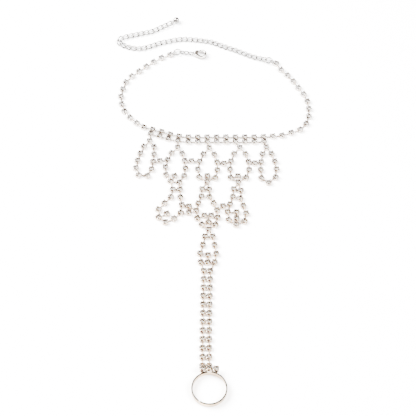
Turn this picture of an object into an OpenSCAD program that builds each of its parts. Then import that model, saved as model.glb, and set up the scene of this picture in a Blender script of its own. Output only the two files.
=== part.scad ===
// Barefoot sandal jewel: a rhinestone cup-chain anklet with a pierced front and a toe ring.
// It lies flat, unclasped, with the toe ring's axis as the origin and the ankle end toward +Y.
// All sizes are in millimetres.

/* [Stones] */
// Width of a stone across its flats
stone_w = 2.2; // [1.8:0.1:2.6]
// Width of a stone's flat table
table_w = 1.3; // [0.9:0.1:1.5]
// Height of a stone from its point to its table
stone_h = 1.15; // [0.9:0.05:1.4]
// Height of the crown, the part above the widest line
crown_h = 0.6; // [0.4:0.05:0.7]

/* [Cups] */
// Clear gap between a stone and its cup
stone_gap = 0.1; // [0.1:0.02:0.16]
// Thickness of a cup's wall at its middle
cup_wall = 0.15; // [0.1:0.05:0.25]
// Thickness of a cup's floor
floor_t = 0.5; // [0.4:0.05:0.7]
// How far a cup's wall stands above the stone's widest line
wall_lip = 0.05; // [0:0.05:0.15]
// Width of a claw
claw_w = 0.56; // [0.4:0.04:0.64]
// How far a claw's tip reaches in over the stone
claw_reach = 0.15; // [0.08:0.01:0.2]

/* [Chain] */
// Distance from one cup to the next in the front band and the teardrops
cup_pitch = 4.5; // [4.3:0.1:5]
// The same distance in the two strands that go round the ankle
strand_pitch = 4.7; // [4.4:0.1:5.2]
// The same distance in the lower drops and the strip
drop_pitch = 4.3; // [4.1:0.1:4.6]
// Width of the bar that joins two cups
bar_w = 0.9; // [0.6:0.1:1.2]
// Thickness of that bar
bar_t = 0.35; // [0.2:0.05:0.4]
// Gap between two rows that lie side by side
row_gap = 0.12; // [0.1:0.02:0.3]
// Gap between two pieces that are separate solids
piece_gap = 0.15; // [0.1:0.05:0.3]

/* [Toe ring] */
// Inside diameter of the toe ring
ring_bore = 14; // [12:0.5:18]
// Thickness of the ring's band
ring_wall = 0.6; // [0.5:0.1:1]
// Width of the ring's band, its height as it lies
ring_h = 2.6; // [2:0.1:5]
// Bevel on the band's two outer edges
ring_bevel = 0.12; // [0.05:0.01:0.2]
// Opening between the band's two ends
ring_slit = 0.5; // [0.2:0.1:1]
// How far the crown's cups are sunk into the band's edge
crown_sink = 0.2; // [0.1:0.05:0.3]
// Height of the solder under the crown's cups
solder_h = 0.5; // [0.3:0.1:1]

/* [Rings and links] */
// Wire thickness of the jump ring
jump_wire = 0.6; // [0.4:0.05:0.7]
// Outside diameter of the jump ring
jump_d = 4; // [3.4:0.1:5]
// Wire thickness of the end eyes
eye_wire = 0.5; // [0.4:0.05:0.6]
// Clear hole of an end eye
eye_bore = 1.1; // [1:0.05:1.3]
// Wire thickness of a chain link
link_wire = 0.5; // [0.4:0.05:0.6]
// Outside length of a chain link
link_l = 3.2; // [2.8:0.1:3.8]
// Outside width of a chain link
link_w = 2.3; // [2:0.1:2.6]
// Clear gap between two links that hold each other
link_gap = 0.1; // [0.1:0.02:0.2]

/* [Clasp] */
// Width of the lobster clasp
clasp_w = 5; // [4.6:0.1:5.6]
// Thickness of the lobster clasp
clasp_t = 2.2; // [2:0.1:2.6]
// Distance from the clasp's eye to the middle of its round end
clasp_l = 4.2; // [4.1:0.1:5]
// Width of the clasp's rim
clasp_rim = 0.9; // [0.8:0.05:1.1]
// Radius of the clasp's eye boss
boss_r = 1.05; // [1:0.05:1.2]
// Clear hole in the clasp's eye
boss_bore = 1.1; // [1:0.05:1.2]
// Thickness of the clasp at its eye
boss_t = 0.8; // [0.7:0.05:0.9]
// Distance from the eye boss to the lever's rivet
rivet_s = 1.9; // [1.8:0.05:2.1]
// Radius of the lever's rivet
rivet_r = 0.22; // [0.18:0.01:0.26]
// Running clearance round the rivet
rivet_gap = 0.04; // [0.03:0.01:0.06]
// Clearance between the lever and the clasp
lever_gap = 0.12; // [0.1:0.01:0.16]
// Thickness of the lever between the clasp's cheeks
lever_root_t = 1.1; // [0.9:0.05:1.2]
// How far the lever turns inward, in degrees
open_turn = 35; // [25:1:38]

/* [Extender] */
// Width of the extender's twisted chain
extender_w = 3; // [2.4:0.1:3.4]
// Height of that chain as it lies
extender_h = 1.7; // [1.4:0.1:2]
// Diameter of the ball at the extender's end
ball_d = 3.2; // [2.8:0.1:4]

/* [Hidden] */

silver = [0.80, 0.80, 0.79];
crystal = [0.93, 0.95, 0.97];

// Routes of the rows of cups, as points chosen by hand. The first is nearest the clasp.
ANKLET_LEFT = [[-19.5, 183], [-23.5, 181.2], [-27.5, 178.5], [-34.5, 172.5], [-40.5, 166.5],
    [-43, 158], [-43, 153.5], [-41.5, 148], [-38.5, 143.5], [-35, 140]];
FRONT_BAND = [[-31.5, 137.5], [-27.2, 136], [-23, 134.8], [-18.8, 133.2], [-14.5, 132],
    [-10, 131.5], [8, 131.5], [22, 131.5], [30.5, 132]];
ANKLET_RIGHT = [[35, 132.5], [39, 134], [43, 135.5], [46, 138.3], [48, 142.5], [48.5, 147.5],
    [48.3, 152], [47, 156.5], [44.5, 160.8], [42, 165.2], [39.5, 169], [36, 173], [33.5, 177.3]];
RIGHT_END_TURN = 155;

// Outlines of the five teardrops, left to right, each from its top and anticlockwise.
TEARDROPS = [
    [[-28.4, 129.2], [-31.3, 125.5], [-33, 120.5], [-34.3, 115.5], [-34, 110.5], [-31, 108.6],
        [-27.8, 110], [-26.8, 115], [-26.2, 120.5], [-26.2, 125.5]],
    [[-15, 125.3], [-18.6, 120.8], [-20.5, 114.5], [-20, 108.5], [-17, 105.2], [-13.2, 105.6],
        [-11.4, 110.5], [-11.3, 115.5], [-12.4, 120.8]],
    [[0, 124.9], [-3.3, 120.3], [-5.2, 114.5], [-4.9, 108.5], [-1.2, 105.6], [2.6, 107.3],
        [3.9, 113], [3.1, 119.5]],
    [[14.6, 125.2], [11.2, 120.5], [9.9, 114.5], [10, 108], [13.2, 105.2], [16.8, 107.2],
        [18.8, 113], [17.8, 120]],
    [[27.2, 125.4], [25, 120.5], [24.4, 114.5], [24.2, 108.3], [27, 105], [30.8, 107.5],
        [31.6, 113.5], [30, 120.5]]
];

// Stones inside the ends of the three teardrops that carry a drop.
TEARDROP_INNER = [[], [[-16.2, 108.9, 20]], [[-0.9, 108.9, 0]], [[13.5, 108.8, 0]], []];

// Single cups that tie each teardrop to the next: across, along and the turn of the cup.
BRIDGES = [[-23.3, 117.5, 0], [-8.4, 117.5, 0], [7, 116, 0], [21.6, 116.2, 0]];

// Outlines of the three lower drops, open at the top, and the stones inside them.
DROP_LEFT = [[-16.9, 101.2], [-17.8, 97], [-20.8, 93.4], [-23.4, 90], [-23.2, 86], [-20.4, 83.2],
    [-16, 85.2], [-12.9, 88.6], [-12.6, 92.4], [-13.4, 97], [-13.6, 101.2]];
DROP_CENTRE = [[-3.3, 101.4], [-3.7, 97], [-5.2, 93], [-6, 88.8], [-5.2, 84.6], [-2.8, 81.2],
    [-0.2, 79.2], [2, 81], [3.7, 83.3], [3.9, 87.7], [2.9, 92], [0.2, 96.6], [0, 101.2]];
DROP_RIGHT = [[11.4, 101.4], [10.9, 97], [9.6, 93], [8.5, 89], [8.7, 84.8], [12.2, 81.8],
    [15.8, 83.2], [17, 87.4], [15.8, 91.8], [14.4, 96.2], [14.7, 100.6]];
INNER_LEFT = [[-19.4, 87.8, 20]];
INNER_CENTRE = [[-2.2, 86.8, 0], [0.9, 86.8, 0], [-0.3, 83.2, 45]];
INNER_RIGHT = [[12.6, 88.6, 0], [12.5, 85.2, 0]];

// Cups that tie the lower drops to each other, left and right.
LOWER_BRIDGES = [[[-9.3, 91.8, 0], [-9.4, 88.4, 0]], [[6.3, 92, 0]]];

// The leaf below the centre drop: its left side, its right side and the stones inside it.
LEAF_LEFT = [[-1.9, 75.4], [-2.9, 70.9], [-4.1, 66.4], [-3.8, 61.9]];
LEAF_RIGHT = [[1.6, 75.4], [2.4, 70.9], [3.1, 66.2], [2.4, 61.8]];
LEAF_INNER = [[-0.5, 65.6, 0], [-0.7, 61.8, 0]];

// Middle line of the two-column strip, from the leaf to the toe ring.
STRIP = [[-1, 57.4], [-1.2, 45], [-1.5, 28], [-1.5, 10.8]];

// Route of the extender chain, from its ring to the ball.
EXTENDER = [[25.5, 180.4], [21.6, 181.8], [17.5, 183.8], [13.2, 186], [9.4, 187.6],
    [4.8, 189.7], [1, 191.4], [-3.5, 192.3], [-10, 193.1], [-15.1, 193.1], [-20.3, 191.8],
    [-24.8, 190.6], [-29.2, 188.6], [-34.3, 187.1], [-39.5, 187.6], [-43.8, 189.6],
    [-45.8, 191.8], [-44.2, 194], [-41.6, 194.9], [-37.8, 196.1], [-33.3, 197.3],
    [-29.5, 198.2], [-26.3, 199.9], [-22.4, 202.1], [-19.8, 203.6]];

// Small sizes of the cups: a claw's height over the table, its stand back from the pocket,
// its outer shoulder and its bearing above the girdle.
claw_over = 0.1;
claw_back = 0.08;
claw_shoulder = 0.35;
claw_bearing = 0.22;
// Share of a cup's spacing over which its turn is taken.
turn_share = 0.3;
// How far a cutter runs past what it cuts.
over = 1;

// Sizes that follow from the driving ones.
cup_w = stone_w + 2 * (stone_gap + cup_wall);
pocket_r = (stone_w / 2 + stone_gap) / cos(22.5);
point_z = floor_t + stone_gap;
girdle_z = point_z + stone_h - crown_h;
table_z = point_z + stone_h;
wall_z = girdle_z + wall_lip;
claw_top = table_z + claw_over;
row_pitch = cup_w + row_gap;
bar_z = 0.1;
bar_bite = 0.45;
ring_r = ring_bore / 2 + ring_wall;
chain_z = link_w / 2;
link_pitch = link_l - 2 * link_wire - link_gap;
eye_r = (eye_bore + eye_wire) / 2;
jump_r = (jump_d - jump_wire) / 2;
curve_steps = 12;
bevel = 0.12;
eye_foot = 0.7;

// A smooth curve through points, and places at even spacing along it.
function spline(a, b, c, d, t) =
    0.5 * (2 * b + (c - a) * t + (2 * a - 5 * b + 4 * c - d) * t * t
        + (3 * b - a - 3 * c + d) * t * t * t);
function smooth(p, closed) =
    let (n = len(p), last = closed ? n : n - 1)
    [for (i = [0:last - 1], s = [0:curve_steps - 1])
        spline(p[closed ? (i + n - 1) % n : max(i - 1, 0)], p[i], p[(i + 1) % n],
            p[closed ? (i + 2) % n : min(i + 2, n - 1)], s / curve_steps),
     p[closed ? 0 : n - 1]];
function run(c) =
    [for (i = 0, s = 0; i < len(c); s = s + norm(c[min(i + 1, len(c) - 1)] - c[i]), i = i + 1) s];
function axis_table(c, s, k) = [for (i = [0:len(c) - 1]) [s[i], c[i][k]]];
function heading(v) = atan2(v[1], v[0]);

// Cups along a route, each as across, along and turn. An open row has a cup at both ends.
function row_of(route, pitch, closed = false) =
    let (c = smooth(route, closed), s = run(c), whole = s[len(s) - 1],
        gaps = round(whole / pitch), step = whole / gaps,
        tx = axis_table(c, s, 0), ty = axis_table(c, s, 1), near = turn_share * step)
    [for (i = [0:closed ? gaps - 1 : gaps])
        let (at = i * step,
            a = closed ? (at - near + whole) % whole : max(at - near, 0),
            b = closed ? (at + near) % whole : min(at + near, whole))
        [lookup(at, tx), lookup(at, ty),
            heading([lookup(b, tx) - lookup(a, tx), lookup(b, ty) - lookup(a, ty)])]];
function spot(c) = [c[0], c[1]];
function along(c, d) = spot(c) + d * [cos(c[2]), sin(c[2])];
function beside(c, d) = [c[0] - d * sin(c[2]), c[1] + d * cos(c[2]), c[2]];
function chain_links(first, count) = [for (i = [0:count - 2]) [first + i, first + i + 1]];
function loop_links(count) = [for (i = [0:count - 1]) [i, (i + 1) % count]];

// The rows themselves.
left_row = row_of(ANKLET_LEFT, strand_pitch);
right_even = row_of(ANKLET_RIGHT, strand_pitch);
right_row = [for (i = [0:len(right_even) - 1]) i < len(right_even) - 1 ? right_even[i]
    : concat(spot(right_even[i]), RIGHT_END_TURN)];
band_top = row_of(FRONT_BAND, cup_pitch);
band_low = [for (i = [1:len(band_top) - 2]) beside(band_top[i], -row_pitch)];
teardrop_rows = [for (route = TEARDROPS) row_of(route, cup_pitch, true)];
drop_rows = [for (route = [DROP_LEFT, DROP_CENTRE, DROP_RIGHT]) row_of(route, drop_pitch)];
drop_inner = [INNER_LEFT, INNER_CENTRE, INNER_RIGHT];
strip_mid = row_of(STRIP, drop_pitch);
strip_row = concat([for (c = strip_mid) beside(c, row_pitch / 2)],
    [for (c = strip_mid) beside(c, -row_pitch / 2)]);
leaf_left = row_of(LEAF_LEFT, cup_pitch);
leaf_right = row_of(LEAF_RIGHT, cup_pitch);
leaf_row = concat(leaf_left, leaf_right, LEAF_INNER);
ring_row = [for (i = [-1:1]) [i * row_pitch, ring_bore / 2 + cup_w / 2, 0]];

// The cup of a row that lies nearest to a given cup.
function nearest(c, row) =
    let (d = [for (r = row) norm(spot(r) - spot(c))], low = min(d))
    [for (i = [0:len(row) - 1]) if (d[i] == low) i][0];

// One square cup with a claw at each corner. Its base is on the surface.
claw_out = (cup_w * sqrt(2) - claw_w) / 2;
claw_in = pocket_r * cos(22.5) + claw_back;
claw_tip = stone_w / 2 - claw_reach;
module claw() {
    rotate([90, 0, 45])
        linear_extrude(claw_w, center = true)
            polygon([[claw_in, floor_t], [claw_out, floor_t], [claw_out, girdle_z + claw_shoulder],
                [claw_out - claw_shoulder, claw_top], [claw_tip + bevel, claw_top - bevel / 2],
                [claw_tip, claw_top - 2 * bevel], [claw_in, girdle_z + claw_bearing]]);
}
module cup() {
    difference() {
        translate([-cup_w / 2, -cup_w / 2, 0]) cube([cup_w, cup_w, wall_z]);
        translate([0, 0, floor_t]) rotate(22.5) cylinder(h = wall_z, r = pocket_r, $fn = 8);
    }
    for (turn = [0:90:270]) rotate(turn) claw();
}

// A flat bar from one point to another, low in the cups' floors.
module bar(from, to, width = bar_w) {
    translate([from[0], from[1], bar_z]) rotate(heading(to - from))
        translate([0, -width / 2, 0]) cube([norm(to - from), width, bar_t]);
}
module join(a, b) {
    way = (spot(b) - spot(a)) / norm(spot(b) - spot(a));
    in = cup_w / 2 - bar_bite;
    bar(spot(a) + way * in, spot(b) - way * in);
}
// A bar from a cup to the nearest cup of another piece, which it stops just short of.
module tail(a, row) {
    b = row[nearest(a, row)];
    side = cup_w + 2 * piece_gap;
    way = (spot(b) - spot(a)) / norm(spot(b) - spot(a));
    color(silver) difference() {
        bar(spot(a) + way * (cup_w / 2 - bar_bite), spot(b));
        translate([b[0], b[1], -over]) rotate(b[2]) translate([-side / 2, -side / 2])
            cube([side, side, wall_z + 2 * over]);
    }
}

// A soldered piece: its cups and the bars between them. Stones inside a loop are tied to the
// side cups that lie nearest to them.
function inner_links(row, inner) =
    [for (i = [0:1:len(inner) - 1]) [len(row) + i, nearest(inner[i], row)]];
module cups(row, links = []) {
    color(silver) {
        for (c = row) translate([c[0], c[1], 0]) rotate(c[2]) cup();
        for (k = links) join(row[k[0]], row[k[1]]);
    }
}

// Cut stones: a flat table, eight crown facets and eight pavilion facets down to a point.
function octagon(c, width, z) =
    [for (k = [0:7]) let (a = c[2] + 22.5 + 45 * k, r = width / 2 / cos(22.5))
        [c[0] + r * cos(a), c[1] + r * sin(a), z]];
function stone_points(c, base) = concat(octagon(c, table_w, base + table_z),
    octagon(c, stone_w, base + girdle_z), [[c[0], c[1], base + point_z]]);
function stone_faces(n) = concat([[for (k = [7:-1:0]) n + k]],
    [for (k = [0:7]) [n + k, n + (k + 1) % 8, n + 8 + (k + 1) % 8, n + 8 + k]],
    [for (k = [0:7]) [n + 8 + k, n + 8 + (k + 1) % 8, n + 16]]);
module stones(row, base = 0) {
    color(crystal)
        polyhedron(points = [for (c = row) each stone_points(c, base)],
            faces = [for (i = [0:len(row) - 1]) each stone_faces(17 * i)]);
}

// A flat wire ring, and an eye that stands on edge beside a row's last cup.
module wire_ring(radius, wire) {
    rotate_extrude($fn = 48) translate([radius, 0]) circle(d = wire, $fn = 24);
}
eye_reach = cup_w / 2 - cup_wall / 2 + eye_r + eye_wire / 2;
module end_eye(c, sign) {
    color(silver) translate([c[0], c[1], 0]) rotate(c[2]) {
        translate([sign * eye_reach, 0, chain_z]) rotate([90, 0, 0]) wire_ring(eye_r, eye_wire);
        translate([sign * (cup_w - cup_wall + eye_foot) / 2, 0, bar_z + eye_foot / 2])
            cube([eye_foot, bar_w / 2, eye_foot], center = true);
    }
}

module anklet_left_cups() {
    count = len(left_row);
    cups(left_row, chain_links(0, count));
    tail(left_row[count - 1], band_top);
    end_eye(left_row[0], -1);
}
module anklet_right_cups() {
    count = len(right_row);
    cups(right_row, chain_links(0, count));
    tail(right_row[0], band_top);
    end_eye(right_row[count - 1], 1);
}
module front_band_cups() {
    top = len(band_top);
    low = len(band_low);
    cups(concat(band_top, band_low), concat(chain_links(0, top), chain_links(top, low),
        [for (i = [0:low - 1]) [i + 1, top + i]]));
}
module teardrop_cups(index) {
    row = teardrop_rows[index];
    inner = TEARDROP_INNER[index];
    cups(concat(row, inner), concat(loop_links(len(row)), inner_links(row, inner)));
    tail(row[0], band_low);
}
module teardrop_stones(index) {
    stones(concat(teardrop_rows[index], TEARDROP_INNER[index]));
}
module bridge_cup(index) {
    cups([BRIDGES[index]]);
    for (i = [0:1]) tail(BRIDGES[index], teardrop_rows[index + i]);
}
module drop_cups(index) {
    row = drop_rows[index];
    inner = drop_inner[index];
    count = len(row);
    cups(concat(row, inner), concat(chain_links(0, count), [[0, count - 1]],
        inner_links(row, inner),
        [for (i = [1:1:len(inner) - 1]) [count, count + i]]));
    for (i = [0, count - 1]) tail(row[i], teardrop_rows[index + 1]);
}
module lower_bridge(index) {
    row = LOWER_BRIDGES[index];
    cups(row, chain_links(0, len(row)));
    for (i = [0:1]) tail(row[0], drop_rows[index + i]);
}
module leaf_cups() {
    side = len(leaf_left);
    other = side + len(leaf_right);
    cups(leaf_row, concat(chain_links(0, side), chain_links(side, other - side),
        [[0, side], [side - 1, other + 1], [other - 1, other + 1], [other, other + 1]]));
    for (i = [0, side]) tail(leaf_row[i], drop_rows[1]);
    for (i = [side - 1, other - 1]) tail(leaf_row[i], strip_row);
}
// The strip's two last cups reach for the toe ring's band.
module strip_cups() {
    rows = len(strip_mid);
    cups(strip_row, concat(chain_links(0, rows), chain_links(rows, rows),
        [for (i = [0:rows - 1]) [i, rows + i]]));
    color(silver) difference() {
        for (i = [rows - 1, 2 * rows - 1])
            bar(spot(strip_row[i]) - [0, cup_w / 2 - bar_bite], spot(strip_row[i]) - [0, ring_r / 2]);
        translate([0, 0, -over]) cylinder(h = ring_h, r = ring_r + piece_gap, $fn = 96);
    }
}

// The toe ring: a bevelled band, open at one place, with three cups soldered to its edge.
slit_turn = 236;
module ring_band() {
    r1 = ring_bore / 2;
    difference() {
        rotate_extrude($fn = 96)
            polygon([[r1, 0], [ring_r - ring_bevel, 0], [ring_r, ring_bevel],
                [ring_r, ring_h - ring_bevel], [ring_r - ring_bevel, ring_h], [r1, ring_h]]);
        rotate(slit_turn) translate([r1 - over, -ring_slit / 2, -over])
            cube([ring_wall + 2 * over, ring_slit, ring_h + 2 * over]);
    }
}
module toe_ring() {
    seat = ring_h - crown_sink;
    color(silver) {
        ring_band();
        for (c = ring_row) translate([c[0], c[1], seat]) cup();
        translate([0, 0, seat]) for (i = [0:1]) join(ring_row[i], ring_row[i + 1]);
        difference() {
            translate([-row_pitch, 0, seat - solder_h])
                cube([2 * row_pitch, ring_bore / 2 + cup_w / 2, solder_h + bar_z]);
            translate([0, 0, seat - solder_h - over]) cylinder(h = ring_h, r = ring_r - bevel, $fn = 96);
        }
    }
}
module toe_ring_stones() {
    stones(ring_row, ring_h - crown_sink);
}

// A jump ring lies flat through each strand's end eye. One holds the clasp's links and the
// other holds the extender.
jump_at = along(left_row[0], -(eye_reach + jump_r));
extender_at = along(right_row[len(right_row) - 1], eye_reach + jump_r);
module jump_ring(at) {
    color(silver) translate([at[0], at[1], chain_z]) wire_ring(jump_r, jump_wire);
}

// Three links run from the jump ring to the clasp. The first and the last stand on edge.
clasp_turn = -8;
link_count = 3;
clasp_way = [cos(clasp_turn), sin(clasp_turn)];
link_half = (link_l - link_wire) / 2;
link_start = jump_r + link_half - (jump_wire + link_wire) / 2 - link_gap;
boss_s = link_start + (link_count - 1) * link_pitch + link_half;
function stadium(length, width, turn) =
    let (r = width / 2, s = (length - width) / 2)
    [(cos(turn) > 0 ? s : -s) + r * cos(turn), r * sin(turn)];
link_bends = 12;
wire_sides = 6;
link_points = [for (i = [0:link_bends - 1])
    let (a = 360 * (i + 0.5) / link_bends, c = stadium(link_l - link_wire, link_w - link_wire, a))
        for (k = [0:wire_sides - 1]) let (b = 360 * k / wire_sides, w = link_wire / 2)
            [c[0] + w * cos(b) * cos(a), c[1] + w * cos(b) * sin(a), w * sin(b)]];
function tube_faces(rings, sides, closed) =
    [for (i = [0:closed ? rings - 1 : rings - 2], k = [0:sides - 1])
        let (j = (i + 1) % rings, m = (k + 1) % sides)
        [i * sides + k, i * sides + m, j * sides + m, j * sides + k]];
module link() {
    polyhedron(points = link_points, faces = tube_faces(link_bends, wire_sides, true));
}
module clasp_links() {
    color(silver) for (i = [0:link_count - 1]) {
        at = jump_at + clasp_way * (link_start + i * link_pitch);
        translate([at[0], at[1], chain_z]) rotate([i % 2 == 0 ? 90 : 0, 0, clasp_turn]) link();
    }
}

// The lobster clasp, drawn with its eye at the left, its round end at the origin and its
// thickness up. Its lever closes the upper side and turns inward about the rivet.
clasp_at = jump_at + clasp_way * (boss_s + clasp_l);
side_turn = asin((clasp_w / 2 - boss_r) / clasp_l);
rivet_at = [-clasp_l, 0] + rivet_s * [cos(side_turn), sin(side_turn)]
    + (boss_r - clasp_rim / 2) * [-sin(side_turn), cos(side_turn)];
hollow_r = clasp_w / 2 - clasp_rim;
// The lever is narrower than the rim, its root is rounder, its full height starts a little way
// from the rivet, and its tip runs past the middle of the clasp's round end.
lever_inset = 0.15;
root_extra = 0.1;
lever_start = 0.95;
lever_past = 0.5;
nub_r = 0.45;
lever_w = clasp_rim - lever_inset;
root_r = lever_w / 2 + root_extra;
lever_end = clasp_l * cos(side_turn) - rivet_s + lever_past;
cheek_t = (clasp_t - lever_root_t) / 2;
module tapered(r_big, r_small, length) {
    lean = asin((r_big - r_small) / length);
    up = [-sin(lean), cos(lean)];
    down = [-sin(lean), -cos(lean)];
    end = [-length, 0];
    circle(r = r_big, $fn = 64);
    translate(end) circle(r = r_small, $fn = 48);
    polygon([r_big * up, end + r_small * up, end + r_small * down, r_big * down]);
}
module lever_bar(from, to, grow = 0) {
    translate([from - grow, -lever_w / 2 - grow]) square([to - from + 2 * grow, lever_w + 2 * grow]);
}
// All that a stretch of the lever sweeps as it turns inward, with its clearance.
swing_spare = 4;
swing_from = 0.1;
swing_steps = 8;
swing = open_turn + swing_spare;
module swept(from, to) {
    lever_bar(from, to, lever_gap);
    rotate(-swing) lever_bar(from, to, lever_gap);
    polygon([for (i = [0:swing_steps]) let (a = swing * i / swing_steps)
            (to + lever_gap) * [cos(a), -sin(a)],
        for (i = [swing_steps:-1:0]) let (a = swing * i / swing_steps)
            max(from - lever_gap, swing_from) * [cos(a), -sin(a)]]);
}
module at_rivet() {
    translate([rivet_at[0], rivet_at[1], 0]) rotate(side_turn) children();
}
module place_clasp() {
    translate([clasp_at[0], clasp_at[1], 0]) rotate(clasp_turn) children();
}
// How far past the middle of its hole the eye boss stays thin.
boss_reach = 0.85;
module clasp_body() {
    eye_low = (clasp_t - boss_t) / 2;
    slot_z = cheek_t - lever_gap;
    slot_h = lever_root_t + 2 * lever_gap;
    color(silver) place_clasp() {
        difference() {
            linear_extrude(clasp_t) difference() {
                tapered(clasp_w / 2, boss_r, clasp_l);
                tapered(hollow_r, boss_bore / 2, clasp_l / 2 - boss_bore / 2);
            }
            translate([-clasp_l, 0, -over]) cylinder(h = clasp_t + 2 * over, d = boss_bore, $fn = 32);
            for (z = [eye_low - clasp_t, eye_low + boss_t]) translate([-2 * clasp_l, -clasp_l / 2, z])
                cube([clasp_l + boss_reach, clasp_l, clasp_t]);
            at_rivet() {
                translate([0, 0, -over]) linear_extrude(clasp_t + 2 * over) swept(lever_start, lever_end);
                translate([0, 0, slot_z]) linear_extrude(slot_h) swept(0, lever_start);
                translate([0, 0, slot_z]) cylinder(h = slot_h, r = root_r + lever_gap, $fn = 48);
            }
        }
        at_rivet() translate([0, 0, bar_z]) cylinder(h = clasp_t - 2 * bar_z, r = rivet_r, $fn = 32);
    }
}
module clasp_lever() {
    color(silver) place_clasp() at_rivet() difference() {
        union() {
            translate([0, 0, cheek_t]) cylinder(h = lever_root_t, r = root_r, $fn = 48);
            translate([0, 0, cheek_t]) linear_extrude(lever_root_t) lever_bar(0, lever_end);
            translate([0, 0, bevel]) linear_extrude(clasp_t - 2 * bevel)
                lever_bar(lever_start, lever_end);
            translate([lever_end - 2 * nub_r, lever_w / 2, cheek_t])
                cylinder(h = lever_root_t, r = nub_r, $fn = 32);
        }
        translate([0, 0, -over]) cylinder(h = clasp_t + 2 * over, r = rivet_r + rivet_gap, $fn = 32);
    }
}

// The extender: a twisted chain whose outer form is a flat tube, ending in a ball with an eye.
function tube_points(path, width, height, sides) =
    [for (i = [0:len(path) - 1])
        let (v = path[min(i + 1, len(path) - 1)] - path[max(i - 1, 0)], a = heading(v))
        for (k = [0:sides - 1])
            let (b = 360 * (k + 0.5) / sides, out = width / 2 * cos(b) / cos(180 / sides),
                up = height / 2 * (1 + sin(b) / cos(180 / sides)))
            [path[i][0] + out * sin(a), path[i][1] - out * cos(a), up]];
tube_rings = 54;
tube_sides = 8;
module extender_chain() {
    out = (EXTENDER[0] - extender_at) / norm(EXTENDER[0] - extender_at);
    c = smooth(concat([extender_at + out * (jump_d / 2 + piece_gap)], EXTENDER), false);
    s = run(c);
    whole = s[len(s) - 1];
    tx = axis_table(c, s, 0);
    ty = axis_table(c, s, 1);
    path = [for (i = [0:tube_rings - 1]) let (at = whole * i / (tube_rings - 1))
        [lookup(at, tx), lookup(at, ty)]];
    color(silver) polyhedron(points = tube_points(path, extender_w, extender_h, tube_sides),
        faces = concat(tube_faces(tube_rings, tube_sides, false),
            [[for (k = [tube_sides - 1:-1:0]) k]],
            [[for (k = [0:tube_sides - 1]) (tube_rings - 1) * tube_sides + k]]));
}
module extender_ball() {
    last = len(EXTENDER) - 1;
    way = (EXTENDER[last] - EXTENDER[last - 1]) / norm(EXTENDER[last] - EXTENDER[last - 1]);
    eye_at = EXTENDER[last] + way * (piece_gap + eye_r + eye_wire / 2);
    color(silver) translate([eye_at[0], eye_at[1], 0]) rotate(heading(way)) {
        translate([0, 0, chain_z]) rotate([90, 0, 0]) wire_ring(eye_r, eye_wire);
        translate([eye_r + ball_d / 2 - bevel, 0, ball_d / 2]) sphere(d = ball_d, $fn = 48);
    }
}

anklet_left_cups();
stones(left_row);  // anklet_left_stones
anklet_right_cups();
stones(right_row);  // anklet_right_stones
front_band_cups();
stones(concat(band_top, band_low));  // front_band_stones
teardrop_cups(0);  // teardrop_1_cups
teardrop_stones(0);  // teardrop_1_stones
teardrop_cups(1);  // teardrop_2_cups
teardrop_stones(1);  // teardrop_2_stones
teardrop_cups(2);  // teardrop_3_cups
teardrop_stones(2);  // teardrop_3_stones
teardrop_cups(3);  // teardrop_4_cups
teardrop_stones(3);  // teardrop_4_stones
teardrop_cups(4);  // teardrop_5_cups
teardrop_stones(4);  // teardrop_5_stones
bridge_cup(0);  // bridge_1_cup
stones([BRIDGES[0]]);  // bridge_1_stone
bridge_cup(1);  // bridge_2_cup
stones([BRIDGES[1]]);  // bridge_2_stone
bridge_cup(2);  // bridge_3_cup
stones([BRIDGES[2]]);  // bridge_3_stone
bridge_cup(3);  // bridge_4_cup
stones([BRIDGES[3]]);  // bridge_4_stone
drop_cups(0);  // drop_left_cups
stones(concat(drop_rows[0], drop_inner[0]));  // drop_left_stones
drop_cups(1);  // drop_centre_cups
stones(concat(drop_rows[1], drop_inner[1]));  // drop_centre_stones
drop_cups(2);  // drop_right_cups
stones(concat(drop_rows[2], drop_inner[2]));  // drop_right_stones
lower_bridge(0);  // bridge_left_cups
stones(LOWER_BRIDGES[0]);  // bridge_left_stones
lower_bridge(1);  // bridge_right_cup
stones(LOWER_BRIDGES[1]);  // bridge_right_stone
leaf_cups();
stones(leaf_row);  // leaf_stones
strip_cups();
stones(strip_row);  // strip_stones
toe_ring();
toe_ring_stones();
jump_ring(jump_at);
clasp_links();
clasp_body();
clasp_lever();
jump_ring(extender_at);  // extender_ring
extender_chain();
extender_ball();
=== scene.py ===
"""Barefoot sandal jewel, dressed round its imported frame: settings, crystals, chain, clasp and toe ring.

The frame is in metres. Each small shape is modelled once, in millimetres, and copied into its places.
"""
import math

import bmesh
import bpy
from mathutils import Matrix, Vector


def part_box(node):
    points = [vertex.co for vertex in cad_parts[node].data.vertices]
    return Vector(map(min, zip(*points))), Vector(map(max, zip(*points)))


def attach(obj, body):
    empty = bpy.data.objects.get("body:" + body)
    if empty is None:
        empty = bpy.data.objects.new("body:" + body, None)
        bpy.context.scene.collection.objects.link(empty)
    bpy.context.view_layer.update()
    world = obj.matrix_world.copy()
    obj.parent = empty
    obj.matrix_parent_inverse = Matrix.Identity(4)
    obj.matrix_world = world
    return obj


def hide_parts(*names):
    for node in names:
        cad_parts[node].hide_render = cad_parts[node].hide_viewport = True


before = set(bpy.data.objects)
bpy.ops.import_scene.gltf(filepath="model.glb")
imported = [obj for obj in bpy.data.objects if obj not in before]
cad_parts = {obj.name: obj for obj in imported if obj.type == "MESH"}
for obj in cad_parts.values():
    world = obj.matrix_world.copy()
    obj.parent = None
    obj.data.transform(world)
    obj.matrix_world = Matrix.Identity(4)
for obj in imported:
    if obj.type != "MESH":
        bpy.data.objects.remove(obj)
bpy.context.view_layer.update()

MM = 0.001

# How near counts as in place, in millimetres, and how upright a level face's normal is.
NEAR = 0.01
UPWARD = 0.9

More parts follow.
